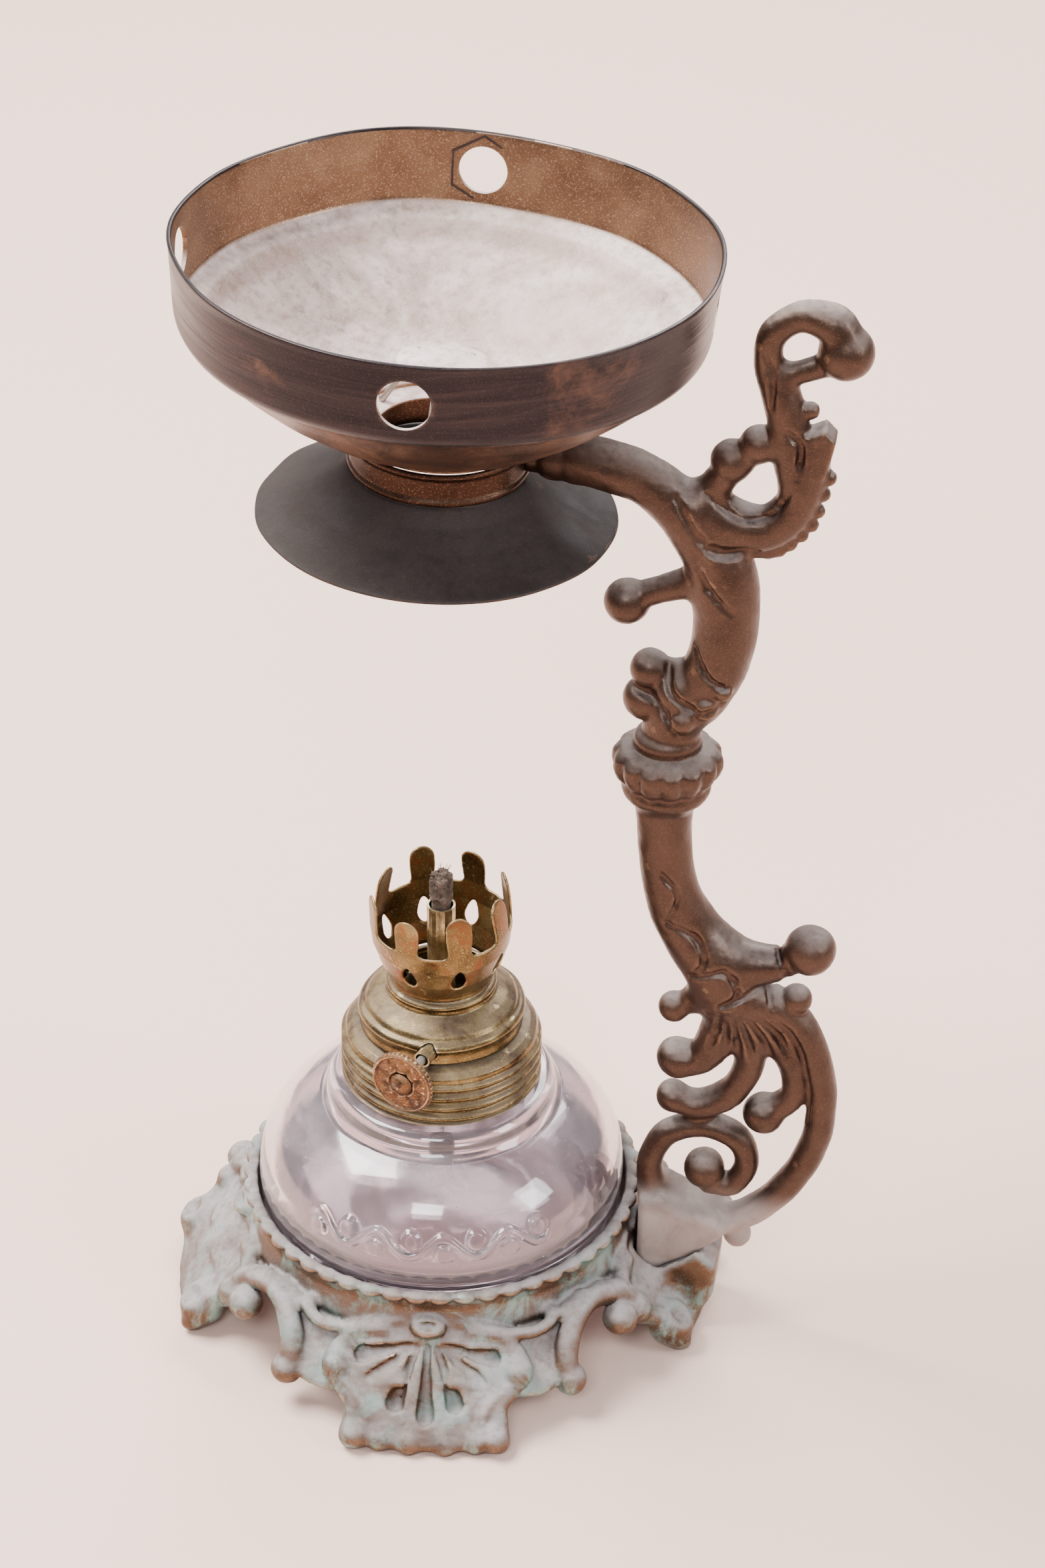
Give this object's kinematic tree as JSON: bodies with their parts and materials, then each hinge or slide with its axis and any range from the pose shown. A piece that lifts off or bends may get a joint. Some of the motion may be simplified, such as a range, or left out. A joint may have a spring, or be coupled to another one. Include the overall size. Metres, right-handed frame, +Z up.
{
  "type": "vaporizer oil lamp",
  "caption": "Small oil lamp with a glass font, wick burner and four-footed cast base, whose scrolled bracket holds a shallow vaporizing pan and heat cone above the flame.",
  "frame": {"origin": "on the table, under the middle of the whole lamp's bounding box; the font's axis stands 8.9 mm from it towards -X", "axes": "+Z up along the font's axis, front foot towards -Y, bracket towards +X (turned 7 degrees towards -Y)"},
  "size_m": [0.1029, 0.0852, 0.1814],
  "materials": {
    "weathered_bronze_paint": "cast iron under worn bronze paint, dusty, with green bloom in the shells",
    "bronze_gilt_paint": "cast iron under bronze gilt paint, paler on the high spots",
    "plain_steel": "dull plain steel",
    "aged_brass": "aged, dusty brass",
    "bronzed_steel_sheet": "thin pressed steel with a worn bronze finish",
    "coppery_sheet": "thin sheet with a coppery finish",
    "sooted_sheet": "matt, sooted sheet",
    "lilac_clear_glass": "old clear glass with a faint lilac tint, dusty",
    "cork_washer": "cut cork sheet",
    "heat_stained_brass": "brass stained orange-brown by heat",
    "charred_cotton": "woven cotton, charred at the top"
  },
  "bodies": {
    "holder": {"base_casting": "weathered_bronze_paint", "bracket_casting": "bronze_gilt_paint", "bracket_screw": "plain_steel", "arm_screw": "aged_brass", "pan_gallery": "bronzed_steel_sheet", "baffle_disc": "bronzed_steel_sheet", "neck_collar": "coppery_sheet", "heat_cone": "sooted_sheet"},
    "font": {"glass_font": "lilac_clear_glass"},
    "gasket": {"burner_gasket": "cork_washer"},
    "burner": {"burner_skirt": "aged_brass", "burner_dome": "aged_brass", "burner_crown": "heat_stained_brass", "wick_tube": "aged_brass", "vent_tube": "aged_brass", "spindle_bushing": "aged_brass", "inner_bearing": "aged_brass"},
    "winder": {"wick_spindle": "plain_steel", "outer_sprocket": "aged_brass", "inner_sprocket": "aged_brass", "wick_knob": "heat_stained_brass", "knob_rivet": "heat_stained_brass"},
    "wick": {"wick": "charred_cotton"}
  },
  "joints": [
    {"name": "font_lift", "type": "slide", "parent": "holder", "child": "font", "axis": [0, 0, 1], "range_m": [0, 0.025]},
    {"name": "burner_rise", "type": "slide", "parent": "font", "child": "gasket", "axis": [0, 0, 1], "range_m": [0, 0.00462]},
    {"name": "burner_unscrew", "type": "hinge", "parent": "gasket", "child": "burner", "pos_m": [-0.0089, 0, 0.05], "axis": [0, 0, 1], "range_deg": [0, 900]},
    {"name": "winder_turn", "type": "hinge", "parent": "burner", "child": "winder", "pos_m": [-0.00534, -0.00159, 0.0534], "axis": [0.4067, 0.9135, 0], "range_deg": [-150, 150]},
    {"name": "wick_travel", "type": "slide", "parent": "burner", "child": "wick", "axis": [0, 0, 1], "range_m": [-0.00511, 0.00511]}
  ],
  "couplings": [
    {"joint": "burner_rise", "follows": "burner_unscrew", "m_per_rad": 0.00029444},
    {"joint": "winder_turn", "follows": "wick_travel", "rad_per_m": 512.82}
  ]
}
